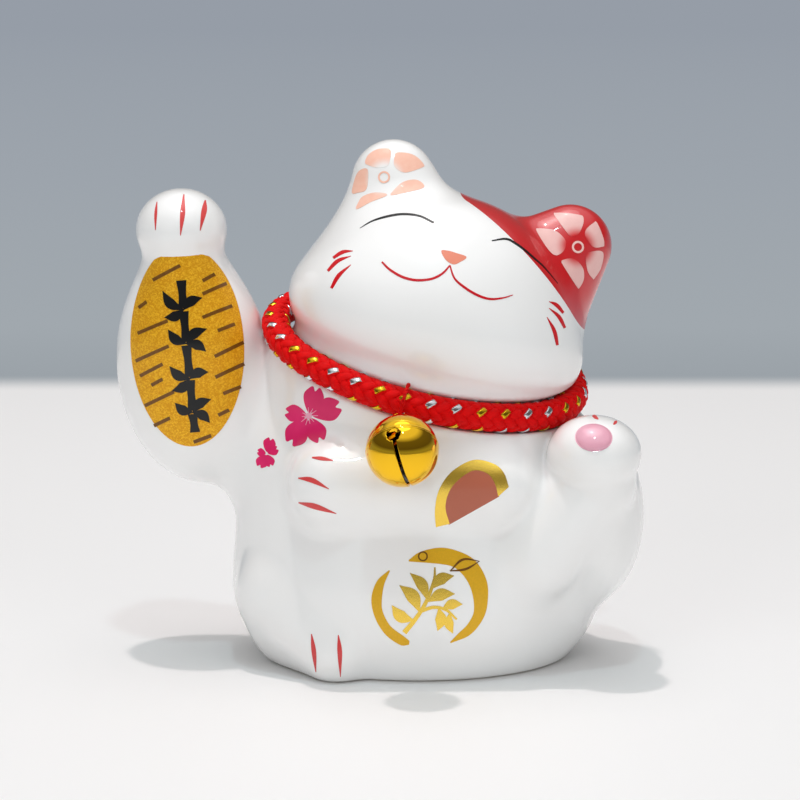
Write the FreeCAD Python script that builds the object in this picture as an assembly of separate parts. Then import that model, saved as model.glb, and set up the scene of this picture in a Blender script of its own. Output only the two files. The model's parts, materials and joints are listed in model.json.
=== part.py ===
import FreeCAD, Part
import math
import os

# Beckoning cat figurine: slip-cast, glazed castings, a braided cord collar and a jingle bell.
# Millimetres, +Z up, the face looks along -Y. The origin is the middle of the foot on the table.

os.makedirs("parts", exist_ok=True)

V = FreeCAD.Vector

# --- driving dimensions -------------------------------------------------------------------------
WALL = 3.2                      # thickness of the cast walls
SMALL_WALL = 2.6                # thickness of the walls of the arm
HEAD_MIDDLE = V(1.3, -2.0, 77.5)
HEAD_TILT = (-4.0, 18.0, 0.0)   # turns of the head about x, y and z in degrees
EAR_FLATTEN = 0.8               # depth of an ear over its width

COLLAR_MIDDLE = V(-0.95, 0.0, 65.9)
COLLAR_TILT = (14.0, 13.6, 0.0)
COLLAR_HALF_WIDTH = 33.2        # middle of the cord, sideways
COLLAR_HALF_DEPTH = 27.0        # middle of the cord, front to back
CORD_RADIUS = 3.2
CORD_GROOVE_GAP = 0.04          # between the cord and the glaze of the neck
WRAP_RADIUS = 4.0
WRAP_ANGLE = 26.0               # length of the wrap, as an angle of the rear arc

FOOT_WALL = 3.6                 # thickness of the flat bottom
DRAIN_MIDDLE = V(-2.5, 13.0, 0.0)
DRAIN_RADIUS = 7.5
STOPPER_SEAT = (10.2, 1.5)      # radius and depth of the sunk seat of the stopper's flange
STOPPER_GAP = 0.05
STOPPER_FLANGE = (9.8, 1.0)     # radius and thickness
STOPPER_RISE = 1.0              # how far the plug stands into the figure

BELL_OUTER = 7.55
BELL_WALL = 0.45
BELL_SIDE = -4.3                # the place of the bell along the cord, as x
TIE_LEAN = 36.0                 # the thread loop hangs down and forward of the cord at this angle
BELL_PLUMB = 17.0               # the bell hangs plumb, turned at its eye by this much from the loop
SLOT_WIDTH = 0.6
SLOT_TURN = -25.0               # turn of the slot about the stem of the bell
SLOT_HALF_ANGLE = 77.5
KEYHOLE_RADIUS = 1.45
BOSS = (1.6, 0.5)               # radius and height of the boss that carries the eye
EYE_RADIUS = 1.2                # middle of the wire of the eye
EYE_WIRE = 0.35
EYE_CLEARANCE = 0.25            # between the eye and the cord
TIE_WIRE = 0.45
TIE_GAP = 0.07                  # between the thread loop and the cord or the eye
TIE_RELIEF = (0.12, 1.6)        # room round the thread loop: radial, and half its width
PELLET_RADIUS = 2.1
PELLET_GAP = 0.15

KOBAN_THICKNESS = 0.45
KOBAN_MIDDLE = (-52.3, 69.9)    # x and z
KOBAN_HALF = (12.5, 22.6)
KOBAN_TILT = 2.5

PAD_MIDDLE = (33.9, -29.1, 53.3)
PAD_HALF = (3.9, 3.7, 1.0)
PAD_TILT = (45.5, 0.0, 0.0)


# --- helpers ------------------------------------------------------------------------------------
def turned(tilt):
    """The rotation of a tilt about x, then y, then z."""
    about_x = FreeCAD.Rotation(V(1, 0, 0), tilt[0])
    about_y = FreeCAD.Rotation(V(0, 1, 0), tilt[1])
    about_z = FreeCAD.Rotation(V(0, 0, 1), tilt[2])
    return about_z.multiply(about_y).multiply(about_x)


def ellipsoid(middle, half, tilt=(0, 0, 0)):
    ball = Part.makeSphere(1.0)
    stretch = FreeCAD.Matrix()
    stretch.scale(V(*half))
    body = ball.transformGeometry(stretch)
    body.Placement = FreeCAD.Placement(V(*middle), turned(tilt))
    return body


def limb(start, start_radius, end, end_radius):
    """A tapered limb with round ends, turned from one outline."""
    start, end = V(*start), V(*end)
    length = (end - start).Length
    sine = (start_radius - end_radius) / length
    cosine = math.sqrt(1.0 - sine * sine)
    low = V(start_radius * cosine, 0, start_radius * sine)
    high = V(end_radius * cosine, 0, length + end_radius * sine)
    half_low = math.radians(-90.0 + math.degrees(math.asin(sine))) / 2
    half_high = math.radians(90.0 + math.degrees(math.asin(sine))) / 2
    low_mid = V(start_radius * math.cos(half_low), 0, start_radius * math.sin(half_low))
    high_mid = V(end_radius * math.cos(half_high), 0, length + end_radius * math.sin(half_high))
    foot, top = V(0, 0, -start_radius), V(0, 0, length + end_radius)
    outline = Part.Wire([
        Part.Arc(foot, low_mid, low).toShape(),
        Part.LineSegment(low, high).toShape(),
        Part.Arc(high, high_mid, top).toShape(),
        Part.LineSegment(top, foot).toShape(),
    ])
    body = Part.Face(outline).revolve(V(0, 0, 0), V(0, 0, 1), 360)
    body = Part.makeSolid(body) if body.ShapeType == "Shell" else body
    body.Placement = FreeCAD.Placement(start, FreeCAD.Rotation(V(0, 0, 1), end - start))
    return body


def fused(shapes):
    whole = shapes[0]
    for shape in shapes[1:]:
        whole = whole.fuse(shape)
    return whole


def main_solid(shape):
    """The largest solid of a shape, cleaned of split faces."""
    solids = sorted(shape.Solids, key=lambda solid: solid.Volume)
    return solids[-1].removeSplitter()


def half_space(middle, normal, size=200.0):
    """A large block whose near face passes through middle and whose body lies along normal."""
    block = Part.makeBox(size, size, size, V(-size / 2, -size / 2, 0))
    block.Placement = FreeCAD.Placement(middle, FreeCAD.Rotation(V(0, 0, 1), normal))
    return block


def in_head(x, y, z):
    return HEAD_MIDDLE + turned(HEAD_TILT).multVec(V(x, y, z))


# --- the masses of the figure: middle, half-axes, tilt; each shrinks by a wall for its cavity ----
def torso_masses(inset=0.0):
    masses = [
        ((-2.7, 2, 16), (40.5, 33.5, 28), (0, 0, 0)),   # hips
        ((-3.6, 2, 37), (39.0, 29, 30), (0, 6, 0)),     # belly and chest
        ((-1.5, 1, 58), (33.5, 27, 17), (0, 15, 0)),    # shoulders and neck
    ]
    return [ellipsoid(m, [h - inset for h in half], t) for m, half, t in masses]


def head_masses(inset=0.0):
    masses = [
        ((1.2, 0, -4.5), (32.6, 25, 17)),               # jowls
        ((1.8, 1, 3), (27.0, 23, 21.3)),                # crown
    ]
    return [ellipsoid(in_head(*m), [h - inset for h in half], HEAD_TILT) for m, half in masses]


def forearm_masses(change=0.0):
    """The broad forearm and the wrist below the paw, grown or shrunk by change."""
    return [
        ellipsoid((-51.3, 3, 63.0), (16.8 + change, 14.1 + change, 25.2 + change), (0, -5, 0)),
        limb((-53.1, -0.8, 86.7), 8.9 + change, (-52.2, 0.5, 71.1), 11.9 + change),
    ]


def ear(base, base_radius, tip, tip_radius):
    """An ear: a tapered limb in the head's own frame, flattened front to back."""
    body = limb(base, base_radius, tip, tip_radius)
    flatten = FreeCAD.Matrix()
    flatten.move(V(0, -base[1], 0))
    flatten.scale(V(1, EAR_FLATTEN, 1))
    flatten.move(V(0, base[1], 0))
    body = body.transformGeometry(flatten)
    body.Placement = FreeCAD.Placement(HEAD_MIDDLE, turned(HEAD_TILT)).multiply(body.Placement)
    return body


def collar_path(offset=0.0):
    """Four tangent arcs of the collar's oval: middle, radius, start and end angle in its plane."""
    half_width = COLLAR_HALF_WIDTH + offset
    half_depth = COLLAR_HALF_DEPTH + offset
    end_radius = half_depth * 0.86
    shift = half_width - end_radius
    side_radius = (shift * shift + half_depth ** 2 - end_radius ** 2) / (2 * (half_depth - end_radius))
    drop = side_radius - half_depth
    spread = math.degrees(math.atan2(drop, shift))
    return [
        (V(shift, 0, 0), end_radius, -spread, spread),
        (V(0, -drop, 0), side_radius, spread, 180.0 - spread),
        (V(-shift, 0, 0), end_radius, 180.0 - spread, 180.0 + spread),
        (V(0, drop, 0), side_radius, 180.0 + spread, 360.0 - spread),
    ]


def collar_tube(radius, arcs):
    """A round tube along arcs of the collar's plane."""
    tubes = []
    for middle, arc_radius, start, end in arcs:
        tube = Part.makeTorus(arc_radius, radius, V(0, 0, 0), V(0, 0, 1), 0, 360, end - start)
        tube.rotate(V(0, 0, 0), V(0, 0, 1), start)
        tube.translate(middle)
        tubes.append(tube)
    body = fused(tubes)
    body.Placement = FreeCAD.Placement(COLLAR_MIDDLE, turned(COLLAR_TILT)).multiply(body.Placement)
    return body


def collar_point(x):
    """The middle of the cord at the front of the collar, at x in the collar's own plane."""
    middle, radius, start, end = collar_path()[3]
    angle = math.radians(270.0) + math.asin((x - middle.x) / radius)
    point = V(middle.x + radius * math.cos(angle), middle.y + radius * math.sin(angle), 0)
    along = V(-math.sin(angle), math.cos(angle), 0)
    turn = turned(COLLAR_TILT)
    return COLLAR_MIDDLE + turn.multVec(point), turn.multVec(along)


# --- the castings -------------------------------------------------------------------------------
table = half_space(V(0, 0, 0), V(0, 0, 1))
collar_up = turned(COLLAR_TILT).multVec(V(0, 0, 1))
above_collar = half_space(COLLAR_MIDDLE, collar_up)
below_collar = half_space(COLLAR_MIDDLE, collar_up * -1)
groove = collar_tube(CORD_RADIUS + CORD_GROOVE_GAP, collar_path())

torso_outer = fused(torso_masses())
seated_leg = fused([
    limb((-32, -11, 16), 10.0, (-20, -23, 6.4), 6.8),
    limb((-30, -8, 8), 8.2, (-20, -19.5, 4), 6.6),
])
belly_arm = limb((-20.5, -21.5, 42.5), 9.5, (14, -21, 42), 9.0)
tail = limb((4, 31, 12), 7.5, (13, 36, 17), 6.0)
torso_skin = fused([torso_outer, seated_leg, belly_arm, tail]).common(table)

cavity_floor = half_space(V(0, 0, FOOT_WALL), V(0, 0, 1))
torso_cavity = fused(torso_masses(WALL)).common(cavity_floor)
drain = Part.makeCylinder(DRAIN_RADIUS, 12, DRAIN_MIDDLE - V(0, 0, 1))
seat_radius, seat_depth = STOPPER_SEAT
stopper_seat = Part.makeCylinder(seat_radius, seat_depth, DRAIN_MIDDLE)

head_skin = fused(head_masses() + [
    ear((-11.0, 4, 8.5), 14.0, (-18.0, 4, 23.0), 7.9),
    ear((18.4, 4, 7.0), 14.2, (25.0, 4, 22.0), 7.7),
])
head_cavity = fused(head_masses(WALL))
neck_bore = ellipsoid(COLLAR_MIDDLE, (25.5, 19.5, 9.0), COLLAR_TILT)


arm_masses = forearm_masses() + [
    limb((-46.4, 3, 53.3), 11.6, (-36, 4, 45.5), 12.0),     # shoulder
    ellipsoid((-53.5, -0.5, 93.6), (9.8, 10.3, 8.9)),       # paw
]
arm_skin = fused(arm_masses)
arm_cavity = fused(forearm_masses(-SMALL_WALL))
arm_vent = limb((-48, 3, 56), 2.0, (-30, 4, 48), 2.0)

leg_masses = [
    ellipsoid((34.4, -6, 32.5), (11.9, 17, 19.5)),        # haunch
    limb((34.3, -19.5, 42.5), 9.3, (22, -20, 26), 9.5),   # shin
    ellipsoid((34.5, -21.3, 48.7), (9.95, 10.2, 8.0)),    # foot
]
leg_skin = fused(leg_masses)
leg_cavity = ellipsoid((34.4, -6, 32.5), (11.9 - SMALL_WALL, 17 - SMALL_WALL, 19.5 - SMALL_WALL))
leg_vent = limb((32, -5, 28), 2.0, (18, -2, 28), 2.0)

whole_torso = torso_skin.common(below_collar)
torso_casting = main_solid(
    whole_torso.cut(fused([torso_cavity, neck_bore, stopper_seat, drain, groove, arm_vent, leg_vent])))
head_casting = main_solid(head_skin.common(above_collar).cut(fused([head_cavity, neck_bore, groove])))
raised_arm = main_solid(arm_skin.cut(fused([whole_torso, head_skin, groove, arm_cavity, arm_vent])))
raised_leg = main_solid(leg_skin.cut(fused([whole_torso, head_skin, groove, leg_cavity, leg_vent])))

# --- thin relief: the gilded koban held by the raised paw, and the pad of the raised foot --------
koban_skin = fused(forearm_masses(KOBAN_THICKNESS))
koban_outline = Part.makeCylinder(1.0, 40)
stretch = FreeCAD.Matrix()
stretch.scale(V(KOBAN_HALF[0], KOBAN_HALF[1], 1))
koban_outline = koban_outline.transformGeometry(stretch)
koban_outline.rotate(V(0, 0, 0), V(1, 0, 0), 90)
koban_outline.rotate(V(0, 0, 0), V(0, 1, 0), -KOBAN_TILT)
koban_outline.translate(V(KOBAN_MIDDLE[0], 3, KOBAN_MIDDLE[1]))
koban_plate = main_solid(koban_skin.common(koban_outline).cut(fused(arm_masses)))

paw_pad = main_solid(ellipsoid(PAD_MIDDLE, PAD_HALF, PAD_TILT).cut(leg_skin))

# --- the collar ---------------------------------------------------------------------------------
collar_cord = main_solid(collar_tube(CORD_RADIUS, collar_path()))
rear_middle, rear_radius = collar_path()[1][:2]
wrap_arc = [(rear_middle, rear_radius, 90.0 - WRAP_ANGLE / 2, 90.0 + WRAP_ANGLE / 2)]
wrap_tube = collar_tube(WRAP_RADIUS, wrap_arc)
collar_wrap = main_solid(wrap_tube.cut(collar_cord))
wrap_seat = collar_tube(WRAP_RADIUS + CORD_GROOVE_GAP, wrap_arc)
torso_casting = main_solid(torso_casting.cut(wrap_seat))
head_casting = main_solid(head_casting.cut(wrap_seat))

# --- the bell: it hangs from a thread loop round the cord ----------------------------------------
boss_radius, boss_height = BOSS
boss_top = BELL_OUTER + boss_height / 2
eye_height = boss_top + EYE_RADIUS
bell_reach = eye_height + EYE_RADIUS + EYE_WIRE + EYE_CLEARANCE + CORD_RADIUS
tie_low = bell_reach - (eye_height + EYE_RADIUS - EYE_WIRE - TIE_GAP - TIE_WIRE)
tie_middle, tie_along = collar_point(BELL_SIDE - COLLAR_MIDDLE.x)
lean = math.radians(TIE_LEAN)
loop_up = V(0, math.cos(lean), math.sin(lean))
loop_up = (loop_up - tie_along * loop_up.dot(tie_along)).normalize()
side = tie_along.cross(loop_up).normalize()
eye_hinge = tie_middle - loop_up * tie_low
plumb = FreeCAD.Rotation(side, BELL_PLUMB)
stem, bell_along = plumb.multVec(loop_up), plumb.multVec(tie_along)
bell_middle = eye_hinge - stem * (bell_reach - tie_low)


def in_bell(shape):
    """Puts a shape from the bell's own frame (+Z along the stem, +X along the cord) in place."""
    frame = FreeCAD.Matrix(
        bell_along.x, -side.x, stem.x, bell_middle.x,
        bell_along.y, -side.y, stem.y, bell_middle.y,
        bell_along.z, -side.z, stem.z, bell_middle.z,
        0, 0, 0, 1)
    shape.Placement = FreeCAD.Placement(frame).multiply(shape.Placement)
    return shape


def shell_half(sign):
    ball = Part.makeSphere(BELL_OUTER).cut(Part.makeSphere(BELL_OUTER - BELL_WALL))
    return ball.common(half_space(V(0, 0, 0), V(0, 0, sign)))


slot = Part.makeCylinder(BELL_OUTER + 1, SLOT_WIDTH, V(0, 0, -SLOT_WIDTH / 2), V(0, 0, 1),
                         2 * SLOT_HALF_ANGLE)
slot.rotate(V(0, 0, 0), V(0, 0, 1), -SLOT_HALF_ANGLE)
slot.rotate(V(0, 0, 0), V(0, 1, 0), 90)
slot.rotate(V(0, 0, 0), V(1, 0, 0), 90)
keyholes = []
for turn in (-SLOT_HALF_ANGLE, SLOT_HALF_ANGLE):
    hole = Part.makeCylinder(KEYHOLE_RADIUS, BELL_OUTER + 1)
    hole.rotate(V(0, 0, 0), V(1, 0, 0), 180 + turn)
    keyholes.append(hole)

upper = shell_half(1)
boss = Part.makeCylinder(boss_radius, boss_height, V(0, 0, BELL_OUTER - boss_height / 2))
bell_upper_shell = in_bell(main_solid(upper.fuse(boss)))
lower = shell_half(-1).cut(fused([slot] + keyholes))
lower.rotate(V(0, 0, 0), V(0, 0, 1), SLOT_TURN)
bell_lower_shell = in_bell(main_solid(lower))

bell_eye = Part.makeTorus(EYE_RADIUS, EYE_WIRE, V(0, 0, eye_height), V(0, 1, 0))
bell_eye = in_bell(main_solid(bell_eye.cut(upper.fuse(boss))))

# The thread loop runs round the cord and through the eye, so it hangs a little low.
tie_high = CORD_RADIUS + TIE_GAP + TIE_WIRE
tie_drop = (tie_low - tie_high) / 2
bell_tie = Part.makeTorus((tie_low + tie_high) / 2, TIE_WIRE, tie_middle - loop_up * tie_drop, tie_along)
relief_radius = tie_low + TIE_WIRE + TIE_RELIEF[0]
tie_relief = Part.makeCylinder(relief_radius, 2 * TIE_RELIEF[1],
                               tie_middle - tie_along * TIE_RELIEF[1], tie_along)
torso_casting = main_solid(torso_casting.cut(tie_relief))
head_casting = main_solid(head_casting.cut(tie_relief))

pellet_reach = BELL_OUTER - BELL_WALL - PELLET_RADIUS - PELLET_GAP
bell_pellet = Part.makeSphere(PELLET_RADIUS, bell_middle - V(0, 0, pellet_reach))

# --- the stopper of the drain hole --------------------------------------------------------------
flange_radius, flange_height = STOPPER_FLANGE
flange_point = DRAIN_MIDDLE + V(0, 0, seat_depth - flange_height - 0.02)
plug_height = FOOT_WALL + STOPPER_RISE - flange_point.z
flange = Part.makeCylinder(flange_radius, flange_height, flange_point)
plug = Part.makeCylinder(DRAIN_RADIUS - STOPPER_GAP, plug_height, flange_point)
plug_hollow = Part.makeCone(DRAIN_RADIUS - 2.4, DRAIN_RADIUS - 3.0, plug_height - 1.2,
                            flange_point + V(0, 0, 1.2))
base_stopper = main_solid(flange.fuse(plug).cut(plug_hollow))

# --- one file for each piece --------------------------------------------------------------------
NODES = {
    "torso_casting": torso_casting,
    "head_casting": head_casting,
    "raised_arm_casting": raised_arm,
    "raised_leg_casting": raised_leg,
    "koban_plate": koban_plate,
    "paw_pad": paw_pad,
    "collar_cord": collar_cord,
    "collar_wrap": collar_wrap,
    "bell_tie": bell_tie,
    "bell_eye": bell_eye,
    "bell_upper_shell": bell_upper_shell,
    "bell_lower_shell": bell_lower_shell,
    "bell_pellet": bell_pellet,
    "base_stopper": base_stopper,
}
for name, shape in NODES.items():
    shape.exportStep("parts/%s.step" % name)
    print("%-20s valid %s solids %d volume %9.1f" % (
        name, shape.isValid(), len(shape.Solids), shape.Volume))

# The places and axes of the joints, for the record.
for name, point in (("tie_hinge", tie_middle), ("eye_hinge", eye_hinge), ("bell_middle", bell_middle),
                    ("stopper", DRAIN_MIDDLE), ("tie_axis", tie_along * -1), ("eye_axis", side),
                    ("stem", stem)):
    print("%-12s %.5f %.5f %.5f" % (name, point.x, point.y, point.z))
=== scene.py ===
import json
import math
import random

import bpy
import numpy as np
import openvdb
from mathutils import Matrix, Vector


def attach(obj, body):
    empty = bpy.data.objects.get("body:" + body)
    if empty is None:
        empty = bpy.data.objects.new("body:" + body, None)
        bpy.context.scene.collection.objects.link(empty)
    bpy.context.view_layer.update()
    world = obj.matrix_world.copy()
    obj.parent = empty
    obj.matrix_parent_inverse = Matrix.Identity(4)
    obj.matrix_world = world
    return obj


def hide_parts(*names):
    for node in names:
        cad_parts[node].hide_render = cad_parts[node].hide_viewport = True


# Glazed ceramic beckoning cat: one skin blended from simple masses, painted decorations pressed on it,
# a braided cord with tinsel, and a plated jingle bell. Shapes are worked out in millimetres.

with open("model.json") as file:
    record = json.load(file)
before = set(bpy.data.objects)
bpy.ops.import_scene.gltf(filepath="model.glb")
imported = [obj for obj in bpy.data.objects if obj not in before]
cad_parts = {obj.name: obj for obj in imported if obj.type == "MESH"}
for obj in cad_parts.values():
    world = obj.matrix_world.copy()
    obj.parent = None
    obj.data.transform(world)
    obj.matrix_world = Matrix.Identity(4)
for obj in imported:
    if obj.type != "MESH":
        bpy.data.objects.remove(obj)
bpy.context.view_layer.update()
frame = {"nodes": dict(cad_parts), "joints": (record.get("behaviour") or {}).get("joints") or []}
MM = 0.001

# --- vectors and fields ---


def vec(*numbers):
    return np.array(numbers, float)


def unit(vector):
    return vector / np.linalg.norm(vector, axis=-1, keepdims=True)


def turned(tilt):
    """The rotation of a tilt about x, then y, then z, in degrees."""
    (cx, cy, cz), (sx, sy, sz) = np.cos(np.radians(tilt)), np.sin(np.radians(tilt))
    about_x = np.array([[1, 0, 0], [0, cx, -sx], [0, sx, cx]])
    about_y = np.array([[cy, 0, sy], [0, 1, 0], [-sy, 0, cy]])
    about_z = np.array([[cz, -sz, 0], [sz, cz, 0], [0, 0, 1]])
    return about_z @ about_y @ about_x


def ellipsoid(p, middle, half, tilt=(0, 0, 0)):
    """Distance from an ellipsoid, negative inside."""
    q = (p - vec(*middle)) @ turned(tilt)
    half = vec(*half)
    reach = np.linalg.norm(q / half, axis=-1)
    slope = np.linalg.norm(q / half ** 2, axis=-1)
    return reach * (reach - 1) / np.maximum(slope, 1e-9)


def limb(p, start, start_radius, end, end_radius):
    """Distance from a tapered limb with round ends."""
    start, end = vec(*start), vec(*end)
    axis = end - start
    length2 = axis @ axis
    taper = start_radius - end_radius
    flank = length2 - taper * taper
    along = (p - start) @ axis
    beyond = along - length2
    across2 = (((p - start) * length2 - along[..., None] * axis) ** 2).sum(-1)
    turn = np.sign(taper) * taper * taper * across2
    past_end = np.sqrt(across2 + beyond ** 2 * length2) / length2 - end_radius
    past_start = np.sqrt(across2 + along ** 2 * length2) / length2 - start_radius
    side = (np.sqrt(across2 * flank / length2) + along * taper) / length2 - start_radius
    return np.where(np.sign(beyond) * flank * beyond ** 2 * length2 > turn, past_end,
                    np.where(np.sign(along) * flank * along ** 2 * length2 < turn, past_start, side))


def join(a, b, blend):
    """The union of two fields with a smooth fillet."""
    near = np.maximum(blend - np.abs(a - b), 0) / blend
    return np.minimum(a, b) - near * near * blend * 0.25


def cut(a, b, blend):
    """Field a with field b taken away, with a rounded edge."""
    return -join(-a, b, blend)


def circle(count):
    """Angles evenly spaced round a full turn."""
    return np.linspace(0, 2 * math.pi, count, endpoint=False)


def slope(field, p, step=0.04):
    """The direction in which a field grows, as unit vectors."""
    parts = [field(p + step * axis) - field(p - step * axis) for axis in np.eye(3)]
    return unit(np.stack(parts, -1))


# --- the figure ---
HEAD_MIDDLE = vec(1.3, -2.0, 77.5)
HEAD_TILT = (-4, 18, 0)
WALL = 3.2
COLLAR_MIDDLE = vec(-0.95, 0.0, 65.9)
COLLAR_TURN = turned((14, 13.6, 0))
COLLAR_HALF = (33.2, 27.0)
CORD_RADIUS = 3.2
DRAIN = (-2.5, 13.0, 7.5)           # x, y and radius
SEAT = (10.2, 1.5)                  # radius and depth of the stopper's seat
FOOT_WALL = 3.6


def collar_arcs():
    """Four tangent arcs of the collar's oval in its own plane: middle, radius, first and last angle."""
    half_width, half_depth = COLLAR_HALF
    end_radius = half_depth * 0.86
    shift = half_width - end_radius
    side_radius = (shift ** 2 + half_depth ** 2 - end_radius ** 2) / (2 * (half_depth - end_radius))
    drop = side_radius - half_depth
    spread = math.atan2(drop, shift)
    return [((shift, 0), end_radius, -spread, spread),
            ((0, -drop), side_radius, spread, math.pi - spread),
            ((-shift, 0), end_radius, math.pi - spread, math.pi + spread),
            ((0, drop), side_radius, math.pi + spread, 2 * math.pi - spread)]


def collar_distance(p):
    """Distance from the middle line of the collar."""
    q = (p - COLLAR_MIDDLE) @ COLLAR_TURN
    best = np.full(q.shape[:-1], 1e3)
    for (x, y), radius, first, last in collar_arcs():
        angle = (np.arctan2(q[..., 1] - y, q[..., 0] - x) - first) % (2 * math.pi)
        gap = np.abs(np.hypot(q[..., 0] - x, q[..., 1] - y) - radius)
        best = np.where(angle <= last - first, np.minimum(best, gap), best)
    return np.hypot(best, q[..., 2])


def torso(p, inset=0.0):
    masses = [((-2.7, 2, 16), (40.5, 33.5, 28), (0, 0, 0)),
              ((-3.6, 2, 37), (39.0, 29, 30), (0, 6, 0)),
              ((-1.5, 1, 58), (33.5, 27, 17), (0, 15, 0))]
    fields = [ellipsoid(p, m, vec(*half) - inset, tilt) for m, half, tilt in masses]
    return join(join(fields[0], fields[1], 10), fields[2], 10)


def in_head(x, y, z):
    return HEAD_MIDDLE + turned(HEAD_TILT) @ vec(x, y, z)


def ear(p, base, base_radius, tip, tip_radius):
    """An ear, flattened front to back in the head's own frame."""
    q = (p - HEAD_MIDDLE) @ turned(HEAD_TILT)
    q = q * vec(1, 1.25, 1) - vec(0, base[1] * 0.25, 0)
    return limb(q, base, base_radius, tip, tip_radius) * 0.85


def forearm(p):
    arm = join(ellipsoid(p, (-51.3, 3, 63.0), (16.8, 14.1, 25.2), (0, -5, 0)),
               limb(p, (-53.1, -0.8, 86.7), 8.9, (-52.2, 0.5, 71.1), 11.9), 5)
    return join(arm, limb(p, (-46.4, 3, 53.3), 11.6, (-36, 4, 45.5), 12), 5)


def masses(p):
    """The blended masses of the whole figure, before the collar's groove and the foot."""
    head = join(ellipsoid(p, in_head(1.2, 0, -4.5), (32.6, 25, 17), HEAD_TILT),
                ellipsoid(p, in_head(1.8, 1, 3), (27.0, 23, 21.3), HEAD_TILT), 9)
    body = torso(p)
    seated_leg = join(limb(p, (-32, -11, 16), 10.0, (-20, -23, 6.4), 6.8),
                      limb(p, (-30, -8, 8), 8.2, (-20, -19.5, 4), 6.6), 3.5)
    body = join(body, seated_leg, 3)
    body = join(body, limb(p, (-20.5, -21.5, 42.5), 9.5, (14, -21, 42), 9.0), 4)       # arm on the belly
    body = join(body, limb(p, (4, 31, 12), 7.5, (13, 36, 17), 6.0), 5)                 # tail
    body = join(body, head, 3)
    body = join(body, ear(p, (-13.2, 4, 7.7), 11.1, (-16.8, 4, 22.3), 9.1), 8)
    body = join(body, ear(p, (16.8, 4, 7.5), 15.3, (23.9, 4, 20.8), 9.0), 3)
    body = join(body, forearm(p), 6)
    body = join(body, ellipsoid(p, (-53.5, -0.5, 93.6), (9.8, 10.3, 8.9)), 1.6)        # raised paw
    body = join(body, ellipsoid(p, (34.4, -6, 32.5), (11.9, 17, 19.5)), 5)             # haunch
    body = join(body, limb(p, (34.3, -19.5, 42.5), 9.3, (22, -20, 26), 9.5), 3.5)      # shin
    return join(body, ellipsoid(p, (34.5, -21.3, 48.7), (9.95, 10.2, 8.0)), 1.6)       # raised foot


def skin(p):
    """The outer skin with the groove of the collar and the flat foot."""
    body = cut(masses(p), collar_distance(p) - CORD_RADIUS - 0.1, 1.0)
    return -join(-body, p[..., 2], 0.8)


def hollow(p):
    """The hollow of the torso, its drain hole and the seat of the stopper."""
    x, y, radius = DRAIN
    off_axis = np.hypot(p[..., 0] - x, p[..., 1] - y)
    drain = np.maximum(off_axis - radius, p[..., 2] - 2 * FOOT_WALL)
    seat = np.maximum(off_axis - SEAT[0], p[..., 2] - SEAT[1])
    inside = -join(-torso(p, WALL), p[..., 2] - FOOT_WALL, 2.0)
    return np.minimum(np.minimum(inside, drain), seat)


def casting(p):
    return np.maximum(skin(p), -hollow(p))


# --- meshes ---
def surface(field, low, high, cell, passes=3):
    """Points and quads of the surface where a field is zero, with every point moved onto it."""
    low = vec(*low)
    steps = np.ceil((vec(*high) - low) / cell).astype(int) + 1
    ys = low[1] + cell * np.arange(steps[1])
    zs = low[2] + cell * np.arange(steps[2])
    values = np.empty(steps, np.float32)
    for i in range(steps[0]):
        x = np.full((steps[1], steps[2]), low[0] + cell * i)
        y, z = np.meshgrid(ys, zs, indexing="ij")
        values[i] = field(np.stack([x, y, z], -1))
    grid = openvdb.FloatGrid(3.0)
    grid.copyFromArray(np.clip(values / cell, -3, 3).astype(np.float32))
    points, quads = grid.convertToQuads(0.0)
    points = low + points.astype(float) * cell
    for _ in range(passes):
        points -= slope(field, points) * np.clip(field(points), -cell, cell)[:, None]
    return points, outward(points, quads.astype(int), slope(field, points))


def outward(points, faces, normals):
    """The faces, turned round if they look inwards."""
    a, b, c = (points[faces[:, k]] for k in range(3))
    facing = (np.cross(b - a, c - a) * normals[faces[:, 0]]).sum()
    return faces if facing > 0 else faces[:, ::-1]


def triangles(quads):
    return np.concatenate([quads[:, [0, 1, 2]], quads[:, [0, 2, 3]]])


def divided(points, faces, marks, value, mark):
    """Triangles cut along the line where value is zero; those on its positive side get the mark."""
    side = value > 0
    above = side[faces].sum(1)
    whole = (above == 0) | (above == 3)
    split, old = faces[~whole], marks[~whole]
    alone = above[~whole] == 1
    first = np.argmax(side[split] == alone[:, None], axis=1)
    a, b, c = np.take_along_axis(split, (first[:, None] + np.arange(3)) % 3, 1).T
    edges = np.sort(np.concatenate([np.stack([a, b], 1), np.stack([a, c], 1)]), 1)
    lines, index = np.unique(edges, axis=0, return_inverse=True)
    share = (value[lines[:, 0]] / (value[lines[:, 0]] - value[lines[:, 1]]))[:, None]
    new = points[lines[:, 0]] * (1 - share) + points[lines[:, 1]] * share
    ab, ac = (index.ravel() + len(points)).reshape(2, -1)
    pieces = [np.stack([a, ab, ac], 1), np.stack([ab, b, c], 1), np.stack([ab, c, ac], 1)]
    piece_marks = [np.where(side[corner], mark, old) for corner in (a, b, b)]
    kept = np.where(above[whole] == 3, mark, marks[whole])
    return (np.concatenate([points, new]), np.concatenate([faces[whole]] + pieces),
            np.concatenate([kept] + piece_marks))


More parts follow.
